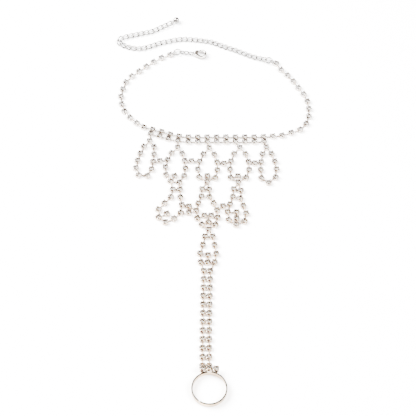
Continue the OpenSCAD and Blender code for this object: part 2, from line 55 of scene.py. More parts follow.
# Settings, in millimetres.
CUP_W = 2.7
CUP_CORNER = 0.5
CUP_RIM = 0.16
WALL_TOP = 1.2
FLOOR_Z = 0.45
FLOOR_SHARE = 0.45
SEAT_DROP = 0.1
CLAW_OUT = 1.45
CLAW_DEPTH = 0.36
CLAW_WIDTH = 0.56
CLAW_TOP = 1.85
CLAW_REACH = 1.5
POINT_Z = 0.6

# A claw's stem, and its two bends over the stone, each with the share of its width that is left.
STEM_FOOT = 0.1
STEM_OVER = 0.2
STEM_SIDES = 6
FIRST_BEND = (-0.14, 0, 0.3)
FIRST_SHARE = 0.9
LAST_BEND = (-0.32, 0, 0.08)
LAST_SHARE = 0.6

# Cut crystals.
STONE_W = 2.34
TABLE_W = 1.25
GIRDLE_Z = 1.15
TABLE_Z = 1.75
STAR_R = 0.87
STAR_DROP = 0.24
POINT_R = 0.06
SAME_FACET = math.radians(4)
FOIL_BELOW = -0.1

# Bars between the settings.
BAR_W = 0.9
BAR_T = 0.35
BAR_TOP = 0.45
BAR_BITE = 0.3
BAR_EDGE = 0.07
WAIST_FROM = 0.3
WAIST_TO = 0.7
WAIST_SHARE = 0.78

# Rings, eyes and links.
RING_WIRE = 0.6
EYE_R = 0.8
EYE_WIRE = 0.5
EYE_Z = 1.15
LINK_L = 3.2
LINK_W = 2.3
LINK_WIRE = 0.5
LINK_SLACK = 0.1
CUT_TURN = math.radians(6)

# The foot that carries an end eye: how far it enters the cup and the eye, its height from the
# ground, and its width and thickness as shares of a bar's.
FOOT_IN_CUP = 0.2
FOOT_IN_EYE = 0.15
FOOT_Z = 0.2
FOOT_WIDTH = 0.6
FOOT_DEPTH = 1.8

# Extender links, each of which twists a quarter turn from end to end.
EXTENDER_L = 4.0
EXTENDER_W = 3.0
EXTENDER_WIRE = 0.6
EXTENDER_H = 1.7
EXTENDER_TWIST = math.radians(90)
EASE_LINKS = 3
EYE_GAP = 1.2
BALL_GAP = 2.28

# Toe ring.
BORE_R = 7
BAND_T = 0.6
BAND_H = 2.6
BAND_SIDES = 96
BAND_EDGE = 0.12
SLIT_TURN = 236

# The solder under the toe ring's crown.
SOLDER_PAST = 1.2
SOLDER_W = 1.2
SOLDER_H = 0.7
SOLDER_OUT = 0.7
SOLDER_DOWN = 0.4
SOLDER_EDGE = 0.15
SOLDER_FILLET = (0, -0.35, 0.2)

# Cast parts: the corners that are welded, the grain of the remesh and the strokes of polish.
WELD = 0.002
CAST_GRAIN = 0.06
POLISH_STROKES = 110

# Wear and painted shade: how far the metal is darkened low down, by painted shade with some tarnish, where
# its worn patches begin, end and reach, and the depth of its grain in millimetres. A painted warm reflection
# tints the metal from the ankle band towards the toe.
LOW_SHADE_AND_TARNISH = 0.95
PATCH_FROM = 0.45
PATCH_TO = 0.75
PATCH_MOST = 0.5
GRAIN_DEPTH = 0.02
WARM_FROM = 0.145
WARM_TO = 0.075
# Tints of the painted warm reflection towards the toe, for the metal and for the foil.
METAL_REFLECTION_TINT = (1.0, 0.88, 0.74, 1)
FOIL_REFLECTION_TINT = (1.0, 0.93, 0.84, 1)

# Camera, which stands where the photograph's did.
AIM = Vector((-0.00055, 0.0914, 0))
CAMERA_DISTANCE = 0.553
CAMERA_RISE = math.radians(56.7)
CAMERA_LENS = 103.85
SENSOR_W = 36

# Studio: the floor, and the room's shade at each height with the tint that it has there.
FLOOR_SIZE = 6
FLOOR_DROP = 0.02
ROOM_SHADES = ((0.3, 0.17), (0.6, 0.24), (0.8, 0.6))
ROOM_TINT = (1.0, 0.8, 0.67)


# Working by hand on one part at a time.

def take(part):
    """Leaves one object selected and active."""
    bpy.ops.object.select_all(action="DESELECT")
    part.select_set(True)
    bpy.context.view_layer.objects.active = part
    return part


def edit(part):
    """Opens a part in edit mode with all of it selected."""
    take(part)
    bpy.ops.object.mode_set(mode="EDIT")
    bpy.ops.mesh.select_all(action="SELECT")


def done():
    bpy.ops.object.mode_set(mode="OBJECT")


def pick(part, kind, test):
    """Selects the corners, edges or faces that pass a test."""
    bpy.ops.mesh.select_all(action="DESELECT")
    bpy.ops.mesh.select_mode(type=kind)
    shape = bmesh.from_edit_mesh(part.data)
    for item in {"VERT": shape.verts, "EDGE": shape.edges, "FACE": shape.faces}[kind]:
        if test(item):
            item.select_set(True)
    shape.select_flush_mode()
    bmesh.update_edit_mesh(part.data)


def middle(item):
    """The middle of an edge or a face."""
    return sum((v.co for v in item.verts), Vector()) / len(item.verts)


def primitive(name, add, stretch=(1, 1, 1), **values):
    """A new primitive at its size and place, with its scale in its mesh."""
    bpy.ops.object.select_all(action="DESELECT")
    add(**values)
    part = bpy.context.object
    part.name = name
    part.scale = stretch
    bpy.ops.object.transform_apply(location=True, rotation=True, scale=True)
    return part


def grow(move, size=1.0):
    """Pulls the picked face out by a move, and shrinks its far end."""
    bpy.ops.mesh.extrude_region_move(TRANSFORM_OT_translate={"value": move})
    bpy.ops.transform.resize(value=(size, size, size))


def finish_with(part, kind, **settings):
    """Applies one modifier to a part."""
    take(part)
    modifier = part.modifiers.new(kind.title(), kind)
    for key, value in settings.items():
        setattr(modifier, key, value)
    bpy.ops.object.modifier_apply(modifier=modifier.name)


def smooth(part, degrees):
    take(part)
    bpy.ops.object.shade_smooth_by_angle(angle=math.radians(degrees))


def fuse(name, parts):
    """Joins parts into one object with one mesh."""
    take(parts[0])
    for part in parts[1:]:
        part.select_set(True)
    if len(parts) > 1:
        bpy.ops.object.join()
    whole = bpy.context.object
    whole.name = name
    whole.data.name = name
    return whole


def twin(master, place):
    """A copy of a master with a mesh of its own, put in its place."""
    copy = bpy.data.objects.new(master.name, master.data.copy())
    bpy.context.collection.objects.link(copy)
    copy.data.transform(place)
    return copy


def finished(part, slot, *nodes, body="jewel"):
    """Makes a part a piece of the jewel: hides what it stands for and attaches it to what it moves with. The
    slot, what it is finished in, is not used.
    """
    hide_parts(*nodes)
    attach(part, body)
    return part


# Finishes.

def add_node(tree, kind, links=(), **settings):
    """A shader node with its settings, and links from other nodes' outputs to its inputs by name."""
    made = tree.nodes.new(kind)
    for key, value in settings.items():
        setattr(made, key, value)
    for socket, source in dict(links).items():
        if hasattr(source, "is_output"):
            tree.links.new(source, made.inputs[socket])
        else:
            made.inputs[socket].default_value = source
    return made


def plating_group():
    """Worn plating with painted shade: colour that dulls in worn patches and darkens low down with painted
    shade and some tarnish, uneven gloss and a fine grain.
    """
    tree = bpy.data.node_groups.new("worn_plating", "ShaderNodeTree")
    for name, kind in (
        ("Bright", "NodeSocketColor"),
        ("Dull", "NodeSocketColor"),
        ("Patch Scale", "NodeSocketFloat"),
        ("Grain Scale", "NodeSocketVector"),
        ("Low", "NodeSocketFloat"),
        ("High", "NodeSocketFloat"),
        ("Smoothest", "NodeSocketFloat"),
        ("Roughest", "NodeSocketFloat"),
        ("Grain", "NodeSocketFloat"),
    ):
        tree.interface.new_socket(name, in_out="INPUT", socket_type=kind)
    for name, kind in (
        ("Color", "NodeSocketColor"),
        ("Roughness", "NodeSocketFloat"),
        ("Normal", "NodeSocketVector"),
    ):
        tree.interface.new_socket(name, in_out="OUTPUT", socket_type=kind)
    given = add_node(tree, "NodeGroupInput").outputs
    place = add_node(tree, "ShaderNodeTexCoord").outputs["Object"]
    patches = add_node(tree, "ShaderNodeTexNoise", {
        "Vector": place, "Scale": given["Patch Scale"], "Detail": 4})
    height = add_node(tree, "ShaderNodeSeparateXYZ", {"Vector": place}).outputs["Z"]
    # Painted shade with some tarnish: the colour darkens towards the metal's foot, from High down to Low.
    depth = add_node(tree, "ShaderNodeMapRange", {
        "Value": height, "From Min": given["Low"], "From Max": given["High"],
        "To Min": LOW_SHADE_AND_TARNISH, "To Max": 0.0})
    worn = add_node(tree, "ShaderNodeMapRange", {
        "Value": patches.outputs["Fac"], "From Min": PATCH_FROM, "From Max": PATCH_TO,
        "To Min": 0.0, "To Max": PATCH_MOST})
    dull = add_node(tree, "ShaderNodeMath", {0: depth.outputs["Result"], 1: worn.outputs["Result"]},
                    operation="ADD", use_clamp=True)
    colour = add_node(tree, "ShaderNodeMix", data_type="RGBA")
    tree.links.new(dull.outputs[0], colour.inputs["Factor"])
    tree.links.new(given["Bright"], colour.inputs[6])
    tree.links.new(given["Dull"], colour.inputs[7])
    gloss = add_node(tree, "ShaderNodeMapRange", {
        "Value": dull.outputs[0], "From Min": 0.0, "From Max": 1.0,
        "To Min": given["Smoothest"], "To Max": given["Roughest"]})
    stretched = add_node(tree, "ShaderNodeVectorMath", {0: place, 1: given["Grain Scale"]},
                         operation="MULTIPLY")
    grain = add_node(tree, "ShaderNodeTexNoise", {"Vector": stretched.outputs[0], "Scale": 1.0, "Detail": 3})
    bump = add_node(tree, "ShaderNodeBump", {
        "Height": grain.outputs["Fac"], "Strength": given["Grain"], "Distance": GRAIN_DEPTH * MM})
    result = add_node(tree, "NodeGroupOutput")
    tree.links.new(colour.outputs[2], result.inputs["Color"])
    tree.links.new(gloss.outputs["Result"], result.inputs["Roughness"])
    tree.links.new(bump.outputs["Normal"], result.inputs["Normal"])
    return tree


def tint_group():
    """Facet fire: a faint change of tint over cut glass and its foil."""
    tree = bpy.data.node_groups.new("facet_fire", "ShaderNodeTree")
    for name, kind in (
        ("Cool", "NodeSocketColor"),
        ("Warm", "NodeSocketColor"),
        ("Scale", "NodeSocketFloat"),
    ):
        tree.interface.new_socket(name, in_out="INPUT", socket_type=kind)
    tree.interface.new_socket("Color", in_out="OUTPUT", socket_type="NodeSocketColor")
    given = add_node(tree, "NodeGroupInput").outputs
    place = add_node(tree, "ShaderNodeTexCoord").outputs["Object"]
    cells = add_node(tree, "ShaderNodeTexNoise", {"Vector": place, "Scale": given["Scale"], "Detail": 1})
    share = add_node(tree, "ShaderNodeMapRange", {
        "Value": cells.outputs["Fac"], "From Min": 0.35, "From Max": 0.65, "To Min": 0.0, "To Max": 1.0})
    colour = add_node(tree, "ShaderNodeMix", data_type="RGBA")
    tree.links.new(share.outputs["Result"], colour.inputs["Factor"])
    tree.links.new(given["Cool"], colour.inputs[6])
    tree.links.new(given["Warm"], colour.inputs[7])
    result = add_node(tree, "NodeGroupOutput")
    tree.links.new(colour.outputs[2], result.inputs["Color"])
    return tree


def painted_toe_reflection_group():
    """Painted warm reflection towards the toe: a tint that comes in between the ankle band and the toe ring.
    """
    tree = bpy.data.node_groups.new("toe_warmth", "ShaderNodeTree")
    for name in ("Color", "Tint"):
        tree.interface.new_socket(name, in_out="INPUT", socket_type="NodeSocketColor")
    tree.interface.new_socket("Color", in_out="OUTPUT", socket_type="NodeSocketColor")
    given = add_node(tree, "NodeGroupInput").outputs
    place = add_node(tree, "ShaderNodeTexCoord").outputs["Object"]
    along = add_node(tree, "ShaderNodeSeparateXYZ", {"Vector": place}).outputs["Y"]
    share = add_node(tree, "ShaderNodeMapRange", {
        "Value": along, "From Min": WARM_FROM, "From Max": WARM_TO, "To Min": 0.0, "To Max": 1.0})
    tinted = add_node(tree, "ShaderNodeMix", data_type="RGBA", blend_type="MULTIPLY")
    tree.links.new(share.outputs["Result"], tinted.inputs["Factor"])
    tree.links.new(given["Color"], tinted.inputs[6])
    tree.links.new(given["Tint"], tinted.inputs[7])
    result = add_node(tree, "NodeGroupOutput")
    tree.links.new(tinted.outputs[2], result.inputs["Color"])
    return tree


PLATING = plating_group()
FIRE = tint_group()
PAINTED_TOE_REFLECTION = painted_toe_reflection_group()


def with_toe_reflection(tree, colour, tint):
    """A colour that takes on the painted warm reflection towards the toe."""
    warmth = add_node(tree, "ShaderNodeGroup", {"Color": colour, "Tint": tint}, node_tree=PAINTED_TOE_REFLECTION)
    return warmth.outputs["Color"]


def blank_material(name):
    """A new material with its node tree and its shader."""
    material = bpy.data.materials.new(name)
    material.use_nodes = True
    return material, material.node_tree, material.node_tree.nodes["Principled BSDF"]


def metal(name, **values):
    """A silver finish: the worn plating, with its painted shade low down and its painted warm reflection
    towards the toe, in its own colours, grain and gloss.
    """
    material, tree, shader = blank_material(name)
    wear = add_node(tree, "ShaderNodeGroup", node_tree=PLATING)
    for key, value in values.items():
        wear.inputs[key.replace("_", " ").title()].default_value = value
    shader.inputs["Metallic"].default_value = 1.0
    # The metal's colour takes on the painted warm reflection towards the toe.
    tree.links.new(with_toe_reflection(tree, wear.outputs["Color"], METAL_REFLECTION_TINT), shader.inputs["Base Color"])
    tree.links.new(wear.outputs["Roughness"], shader.inputs["Roughness"])
    tree.links.new(wear.outputs["Normal"], shader.inputs["Normal"])
    return material


def cut_crystal():
    """Clear cut glass with a faint fire."""
    material, tree, shader = blank_material("cut_crystal")
    fire = add_node(tree, "ShaderNodeGroup", {
        "Cool": (0.93, 0.96, 1.0, 1), "Warm": (1.0, 0.98, 0.94, 1), "Scale": 600.0}, node_tree=FIRE)
    tree.links.new(fire.outputs["Color"], shader.inputs["Base Color"])
    shader.inputs["Roughness"].default_value = 0.01
    shader.inputs["IOR"].default_value = 1.55
    shader.inputs["Transmission Weight"].default_value = 1.0
    return material


def foil_back():
    """The foil that shines up through a stone from under its girdle."""
    material, tree, shader = blank_material("foil_back")
    fire = add_node(tree, "ShaderNodeGroup", {
        "Cool": (0.88, 0.87, 0.86, 1), "Warm": (0.94, 0.87, 0.78, 1), "Scale": 900.0}, node_tree=FIRE)
    # The foil's colour takes on the painted warm reflection towards the toe.
    tree.links.new(with_toe_reflection(tree, fire.outputs["Color"], FOIL_REFLECTION_TINT), shader.inputs["Base Color"])
    shader.inputs["Metallic"].default_value = 1.0
    shader.inputs["Roughness"].default_value = 0.06
    return material


def pale_floor():
    """A matt, faintly clouded white."""
    material, tree, shader = blank_material("pale_floor")
    place = add_node(tree, "ShaderNodeTexCoord").outputs["Object"]
    cloud = add_node(tree, "ShaderNodeTexNoise", {"Vector": place, "Scale": 6.0, "Detail": 2})
    tone = add_node(tree, "ShaderNodeMix", data_type="RGBA")
    tree.links.new(cloud.outputs["Fac"], tone.inputs["Factor"])
    tone.inputs[6].default_value = (0.9, 0.9, 0.9, 1)
    tone.inputs[7].default_value = (0.94, 0.935, 0.94, 1)
    tree.links.new(tone.outputs[2], shader.inputs["Base Color"])
    shader.inputs["Roughness"].default_value = 0.6
    return material


# Each metal's second colour is both its worn tone and the painted shade low down.
CUP_PLATING = metal("cup_plating", bright=(0.76, 0.735, 0.71, 1), dull=(0.3, 0.24, 0.19, 1),
                    patch_scale=450.0, grain_scale=(9000, 9000, 9000), low=0.0, high=1.5 * MM,
                    smoothest=0.1, roughest=0.34, grain=0.2)
# The double row across the ankle gets a lighter painted shade low down, so the crevice between its rows stays
# light.
ANKLE_PLATING = metal("ankle_plating", bright=(0.78, 0.76, 0.735, 1), dull=(0.52, 0.46, 0.4, 1),
                      patch_scale=450.0, grain_scale=(9000, 9000, 9000), low=0.0, high=1.5 * MM,
                      smoothest=0.1, roughest=0.34, grain=0.2)
WIRE_SILVER = metal("wire_silver", bright=(0.2, 0.19, 0.18, 1), dull=(0.05, 0.042, 0.036, 1),
                    patch_scale=700.0, grain_scale=(3000, 3000, 12000), low=0.0, high=1.5 * MM,
                    smoothest=0.1, roughest=0.3, grain=0.12)
CAST_SILVER = metal("cast_silver", bright=(0.5, 0.48, 0.455, 1), dull=(0.12, 0.095, 0.075, 1),
                    patch_scale=500.0, grain_scale=(14000, 14000, 14000), low=0.0, high=1.6 * MM,
                    smoothest=0.18, roughest=0.38, grain=0.1)
# The band darkens along its top edge, a painted dark reflection, and its golden colour is a painted warm
# reflection.
BAND_SILVER = metal("band_silver", bright=(0.52, 0.42, 0.3, 1), dull=(0.035, 0.03, 0.028, 1),
                    patch_scale=260.0, grain_scale=(400, 400, 9000), low=2.55 * MM, high=2.0 * MM,
                    smoothest=0.1, roughest=0.22, grain=0.1)
CRYSTAL = cut_crystal()
FOIL = foil_back()


# Masters, in millimetres.

def claw_master():
    """One claw at the +X side: a flattened stem whose top bends in over the stone."""
    stem = GIRDLE_Z + STEM_OVER
    claw = primitive("claw", bpy.ops.mesh.primitive_cylinder_add, (CLAW_DEPTH, CLAW_WIDTH, 1),
                     vertices=STEM_SIDES, radius=0.5, depth=stem, location=(0, 0, 0))
    claw.data.transform(Matrix.Translation((CLAW_OUT, 0, stem / 2 + STEM_FOOT)))
    edit(claw)
    pick(claw, "FACE", lambda f: f.normal.z > UPWARD)
    grow(FIRST_BEND, FIRST_SHARE)
    grow(LAST_BEND, LAST_SHARE)
    done()
    return claw


def cup_master():
    """A square box with cut corners, a pocket that narrows to its seat, and four claws."""
    box = primitive("cup", bpy.ops.mesh.primitive_cube_add, (CUP_W, CUP_W, WALL_TOP),
                    size=1, location=(0, 0, 0))
    box.data.transform(Matrix.Translation((0, 0, WALL_TOP / 2)))
    edit(box)
    pick(box, "EDGE", lambda e: abs(e.verts[0].co.z - e.verts[1].co.z) > NEAR)
    bpy.ops.mesh.bevel(offset=CUP_CORNER, offset_type="OFFSET", segments=1, affect="EDGES")
    pick(box, "FACE", lambda f: f.normal.z > UPWARD)
    bpy.ops.mesh.inset(thickness=CUP_RIM)
    grow((0, 0, GIRDLE_Z - SEAT_DROP - WALL_TOP))
    grow((0, 0, FLOOR_Z + SEAT_DROP - GIRDLE_Z), FLOOR_SHARE)
    done()
    claw = claw_master()
    claws = [twin(claw, Matrix.Rotation(math.radians(45 + 90 * k), 4, "Z")) for k in range(4)]
    bpy.data.objects.remove(claw)
    cup = fuse("cup", [box] + claws)
    smooth(cup, 38)
    cup.data.materials.append(CUP_PLATING)
    return cup


def stone_master():
    """A cut stone: a table, its star, kite and girdle facets, and a foiled point."""
    step = math.radians(22.5)
    rings = [
        primitive("ring", bpy.ops.mesh.primitive_circle_add, vertices=sides, radius=radius,
                  location=(0, 0, z), rotation=(0, 0, turn))
        for sides, radius, z, turn in (
            (8, TABLE_W / 2 / math.cos(step), TABLE_Z, step),
            (8, STAR_R, TABLE_Z - STAR_DROP, 0),
            (16, STONE_W / 2, GIRDLE_Z, 0),
            (8, POINT_R, POINT_Z, step),
        )
    ]
    stone = fuse("stone", rings)
    edit(stone)
    bpy.ops.mesh.convex_hull(join_triangles=True, face_threshold=SAME_FACET, shape_threshold=SAME_FACET)
    bpy.ops.mesh.normals_make_consistent(inside=False)
    done()
    take(stone)
    bpy.ops.object.shade_flat()
    stone.data.materials.append(CRYSTAL)
    stone.data.materials.append(FOIL)
    for face in stone.data.polygons:
        face.material_index = 1 if face.normal.z < FOIL_BELOW else 0
    return stone


def bar_master():
    """A flat bar one unit long, waisted in its middle, with softened edges."""
    bar = primitive("bar", bpy.ops.mesh.primitive_cube_add, (1, BAR_W, BAR_T), size=1, location=(0, 0, 0))
    bar.data.transform(Matrix.Translation((0.5, 0, BAR_T / 2)))
    edit(bar)
    for cut in (WAIST_FROM, WAIST_TO):
        bpy.ops.mesh.select_all(action="SELECT")
        bpy.ops.mesh.bisect(plane_co=(cut, 0, 0), plane_no=(1, 0, 0))
    pick(bar, "VERT", lambda v: WAIST_FROM - NEAR < v.co.x < WAIST_TO + NEAR)
    bpy.ops.transform.resize(value=(1, WAIST_SHARE, 1))
    pick(bar, "EDGE", lambda e: abs(e.verts[0].co.x - e.verts[1].co.x) > NEAR)
    bpy.ops.mesh.bevel(offset=BAR_EDGE, offset_type="OFFSET", segments=1, affect="EDGES")
    done()
    smooth(bar, 50)
    bar.data.materials.append(CUP_PLATING)
    return bar


def ring_master(name, radius, wire):
    """A closed ring of round wire."""
    ring = primitive(name, bpy.ops.mesh.primitive_torus_add, major_segments=36, minor_segments=10,
                     major_radius=radius, minor_radius=wire / 2, location=(0, 0, 0))
    smooth(ring, 180)
    ring.data.materials.append(WIRE_SILVER)
    return ring


def split_ring_master(radius, wire):
    """A jump ring whose two ends meet at a fine cut."""
    ring = primitive("split_ring", bpy.ops.mesh.primitive_torus_add, major_segments=60, minor_segments=12,
                     major_radius=radius, minor_radius=wire / 2, location=(0, 0, 0))
    edit(ring)
    pick(ring, "FACE", lambda f: 0 < math.atan2(middle(f).y, middle(f).x) < CUT_TURN)
    bpy.ops.mesh.delete(type="FACE")
    pick(ring, "EDGE", lambda e: e.is_boundary)
    bpy.ops.mesh.edge_face_add()
    bpy.ops.mesh.select_all(action="SELECT")
    bpy.ops.mesh.normals_make_consistent(inside=False)
    done()
    smooth(ring, 45)
    ring.data.materials.append(WIRE_SILVER)
    return ring


def link_master(name, length, width, wire, twist=0.0):
    """An oval chain link that lies along X, flat or twisted about its length."""
    link = primitive(name, bpy.ops.mesh.primitive_torus_add, major_segments=24, minor_segments=8,
                     major_radius=(width - wire) / 2, minor_radius=wire / 2, location=(0, 0, 0))
    edit(link)
    for side in (-1, 1):
        pick(link, "VERT", lambda v: v.co.x * side > NEAR)
        bpy.ops.transform.translate(value=(side * (length - width) / 2, 0, 0))
    done()
    if twist:
        finish_with(link, "SIMPLE_DEFORM", deform_method="TWIST", deform_axis="X", angle=twist)
    smooth(link, 180)
    link.data.materials.append(WIRE_SILVER)
    return link


CUP = cup_master()
STONE = stone_master()
BAR = bar_master()
EYE = ring_master("eye", EYE_R, EYE_WIRE)
LINK = link_master("link", LINK_L, LINK_W, LINK_WIRE)
EXTENDER_LINK = link_master("extender_link", EXTENDER_L, EXTENDER_W, EXTENDER_WIRE, EXTENDER_TWIST)


# Places, read from the frame.

def culets(node):
    """Where the stones of a node stand: the lowest corner of each."""
    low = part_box(node)[0].z
    spots = []
    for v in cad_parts[node].data.vertices:
        if v.co.z < low + NEAR * MM and all((v.co - s).length > MM for s in spots):
            spots.append(v.co.copy())
    return spots


def turn_of(node, spot):
    """A cup's turn, from the top corners of its four claws."""
    top = spot.z + (CLAW_TOP - POINT_Z) * MM
    total = Vector((0, 0))
    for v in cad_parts[node].data.vertices:
        out = (v.co - spot).xy
        if abs(v.co.z - top) < 2 * NEAR * MM and out.length < CLAW_REACH * MM:
            angle = 4 * math.atan2(out.y, out.x)
            total += Vector((math.cos(angle), math.sin(angle)))
    return (math.atan2(total.y, total.x) - math.pi) / 4


def bar_patches(node, level):
    """The level patches that the bars show between the cups, each as its corners."""
    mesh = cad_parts[node].data
    patches = []
    for face in mesh.polygons:
        corners = [mesh.vertices[i].co for i in face.vertices]
        if face.normal.z < UPWARD or any(abs(c.z - level) > NEAR * MM for c in corners):
            continue
        apart = []
        joined = list(corners)
        for patch in patches:
            if any((c - q).length < NEAR * MM for c in corners for q in patch):
                joined += patch
            else:
                apart.append(patch)
        patches = apart + [joined]
    return patches


def bars_of(node, spots):
    """Where each bar goes: from just inside one cup to just inside the next."""
    level = spots[0].z + (BAR_TOP - POINT_Z) * MM
    places = []
    for patch in bar_patches(node, level):
        centre = sum(patch, Vector()) / len(patch)
        cup = min(spots, key=lambda s: (s - centre).xy.length)
        way = (centre - cup).xy.normalized()
        reach = [(c - cup).xy.dot(way) for c in patch]
        start = cup.xy + way * (min(reach) - BAR_BITE * MM)
        length = max(reach) - min(reach) + 2 * BAR_BITE * MM
        places.append(Matrix.Translation((start.x, start.y, level - BAR_T * MM))
                      @ Matrix.Rotation(math.atan2(way.y, way.x), 4, "Z")
                      @ Matrix.Diagonal((length, MM, MM, 1)))
    return places


def standing(spot, turn=0.0):
    """The place of a cup or stone whose base is under a culet."""
    return (Matrix.Translation((spot.x, spot.y, spot.z - POINT_Z * MM))
            @ Matrix.Rotation(turn, 4, "Z") @ Matrix.Scale(MM, 4))


def ring_centre(node):
    """The middle of a node's bounds."""
    low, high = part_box(node)
    return (low + high) / 2


def end_eye(spots, ring_node):
    """The eye on edge between a strand's last cup and its ring, with the foot that carries it."""
    ring = ring_centre(ring_node)
    cup = min(spots, key=lambda s: (s - ring).xy.length)
    low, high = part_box(ring_node)
    radius = ((high - low).x - RING_WIRE * MM) / 2
    way = (ring - cup).xy.normalized()
    heading = math.atan2(way.y, way.x)
    eye = ring.xy - way * radius
    stand = Matrix.Translation((eye.x, eye.y, EYE_Z * MM)) @ Matrix.Rotation(heading, 4, "Z")
    foot_from = cup.xy + way * (CUP_W / 2 - FOOT_IN_CUP) * MM
    foot_to = eye - way * (EYE_R - FOOT_IN_EYE) * MM
    foot = (Matrix.Translation((foot_from.x, foot_from.y, FOOT_Z * MM)) @ Matrix.Rotation(heading, 4, "Z")
            @ Matrix.Diagonal(((foot_to - foot_from).length, FOOT_WIDTH * MM, FOOT_DEPTH * MM, 1)))
    return [twin(EYE, stand @ Matrix.Rotation(math.pi / 2, 4, "X") @ Matrix.Scale(MM, 4)), twin(BAR, foot)]


# Strings of settings and their crystals.

STRAND_RINGS = {"anklet_left_cups": "jump_ring", "anklet_right_cups": "extender_ring"}
# The string whose plating has a lighter painted shade low down.
LIGHTLY_SHADED = "front_band_cups"


def toe_band():
    """The toe ring's band, open at one place, with rounded edges."""
    band = primitive("band", bpy.ops.mesh.primitive_cylinder_add, vertices=BAND_SIDES,
                     radius=BORE_R + BAND_T / 2, depth=BAND_H, end_fill_type="NOTHING", location=(0, 0, 0))
    band.data.transform(Matrix.Translation((0, 0, BAND_H / 2)))
    edit(band)
    half = math.pi / BAND_SIDES
    slit = math.radians(SLIT_TURN)
    pick(band, "FACE", lambda f: math.cos(math.atan2(middle(f).y, middle(f).x) - slit) > math.cos(half))
    bpy.ops.mesh.delete(type="FACE")
    done()
    finish_with(band, "SOLIDIFY", thickness=BAND_T, offset=0, use_even_offset=True)
    finish_with(band, "BEVEL", width=BAND_EDGE, segments=3,
                limit_method="ANGLE", angle_limit=math.radians(50))
    smooth(band, 25)
    band.data.materials.append(BAND_SILVER)
    return band


def crown_solder(spots):
    """The solder that carries the crown, as a rounded bar outside the bore."""
    length = (max(s.x for s in spots) - min(s.x for s in spots)) / MM + SOLDER_PAST
    solder = primitive("solder", bpy.ops.mesh.primitive_cube_add, (length, SOLDER_W, SOLDER_H),
                       size=1, location=(0, 0, 0))
    solder.data.transform(Matrix.Translation((0, BORE_R + SOLDER_OUT, BAND_H - SOLDER_DOWN)))
    edit(solder)
    bpy.ops.mesh.subdivide(number_cuts=1)
    pick(solder, "VERT", lambda v: (v.co.z < BAND_H - SOLDER_DOWN - NEAR
                                    and v.co.y > BORE_R + SOLDER_OUT + NEAR))
    bpy.ops.transform.translate(value=SOLDER_FILLET)
    done()
    finish_with(solder, "BEVEL", width=SOLDER_EDGE, segments=2,
                limit_method="ANGLE", angle_limit=math.radians(40))
    smooth(solder, 60)
    solder.data.materials.append(CUP_PLATING)
    return solder


def string_of(stones_node):
    """One soldered string: its settings with their bars, and its crystals."""
    is_ring = stones_node == "toe_ring_stones"
    cups_node = "toe_ring" if is_ring else stones_node.replace("stone", "cup")
    spots = culets(stones_node)
    turns = [turn_of(cups_node, s) for s in spots]
    places = [standing(s, t) for s, t in zip(spots, turns)]
    metalwork = [twin(CUP, p) for p in places] + [twin(BAR, p) for p in bars_of(cups_node, spots)]
    if cups_node in STRAND_RINGS:
        metalwork += end_eye(spots, STRAND_RINGS[cups_node])
    if is_ring:
        for part in (toe_band(), crown_solder(spots)):
            part.data.transform(Matrix.Scale(MM, 4))
            metalwork.append(part)
    name = stones_node.replace("_stones", "").replace("_stone", "")
    settings = fuse(name + "_settings", metalwork)
    # That string takes the plating with the lighter painted shade.
    if cups_node == LIGHTLY_SHADED:
        settings.data.materials[0] = ANKLE_PLATING
    finished(settings, "silver", cups_node)
    finished(fuse(name + "_crystals", [twin(STONE, p) for p in places]), "crystal", stones_node)


for node in sorted(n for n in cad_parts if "stone" in n):
    string_of(node)


# Rings, links and the extender.

def jump_rings():
    """The two rings between the strands and their chains, each cut at one place."""
    for node, turn in (("jump_ring", 70), ("extender_ring", 200)):
        low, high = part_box(node)
        wire = (high - low).z / MM
        ring = split_ring_master(((high - low).x / MM - wire) / 2, wire)
        ring.data.transform(Matrix.Translation((low + high) / 2) @ Matrix.Rotation(math.radians(turn), 4, "Z")
                            @ Matrix.Scale(MM, 4))
        ring.name = node + "_split"
        finished(ring, "silver", node)


def link_pitch(length, wire):
    """How far one link stands from the next that it holds."""
    return (length - 2 * wire - LINK_SLACK) * MM


def first_link(ring_node, length, wire):
    """How far the first link's middle stands from the middle of the ring that it hooks into."""
    low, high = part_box(ring_node)
    ring_r = (high.x - low.x) / 2 - RING_WIRE / 2 * MM
    return ring_r + (length / 2 - RING_WIRE / 2 - wire - LINK_SLACK) * MM


def link_at(master, spot, heading, roll=0.0):
    """A link in its place, turned along its chain and rolled about its length."""
    return twin(master, Matrix.Translation(spot) @ Matrix.Rotation(heading, 4, "Z")
                @ Matrix.Rotation(roll, 4, "X") @ Matrix.Scale(MM, 4))


def clasp_links():
    """Three links from the jump ring to the clasp, on edge, flat and on edge."""
    ring = ring_centre("jump_ring")
    way = (ring_centre("clasp_links") - ring).xy.normalized()
    heading = math.atan2(way.y, way.x)
    links = []
    for i in range(3):
        at = ring.xy + way * (first_link("jump_ring", LINK_L, LINK_WIRE) + i * link_pitch(LINK_L, LINK_WIRE))
        links.append(link_at(LINK, (at.x, at.y, EYE_Z * MM), heading, math.pi / 2 if i % 2 == 0 else 0))
    finished(fuse("clasp_chain", links), "silver", "clasp_links")


def extender_route():
    """The extender's middle line: halfway between the paired corners along the foot of its solid."""
    feet = []
    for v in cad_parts["extender_chain"].data.vertices:
        if v.co.z < NEAR * MM and all((v.co - f).length > 2 * NEAR * MM for f in feet):
            feet.append(v.co.copy())
    left = list(feet)
    line = []
    while len(left) > 1:
        a = left.pop()
        b = min(left, key=lambda f: (f - a).length)
        left.remove(b)
        line.append((a + b) / 2)
    ring = ring_centre("extender_ring")
    route = []
    at = ring
    while line:
        at = min(line, key=lambda p: (p - at).xy.length)
        line.remove(at)
        route.append(at.xy)
    return ring.xy, route


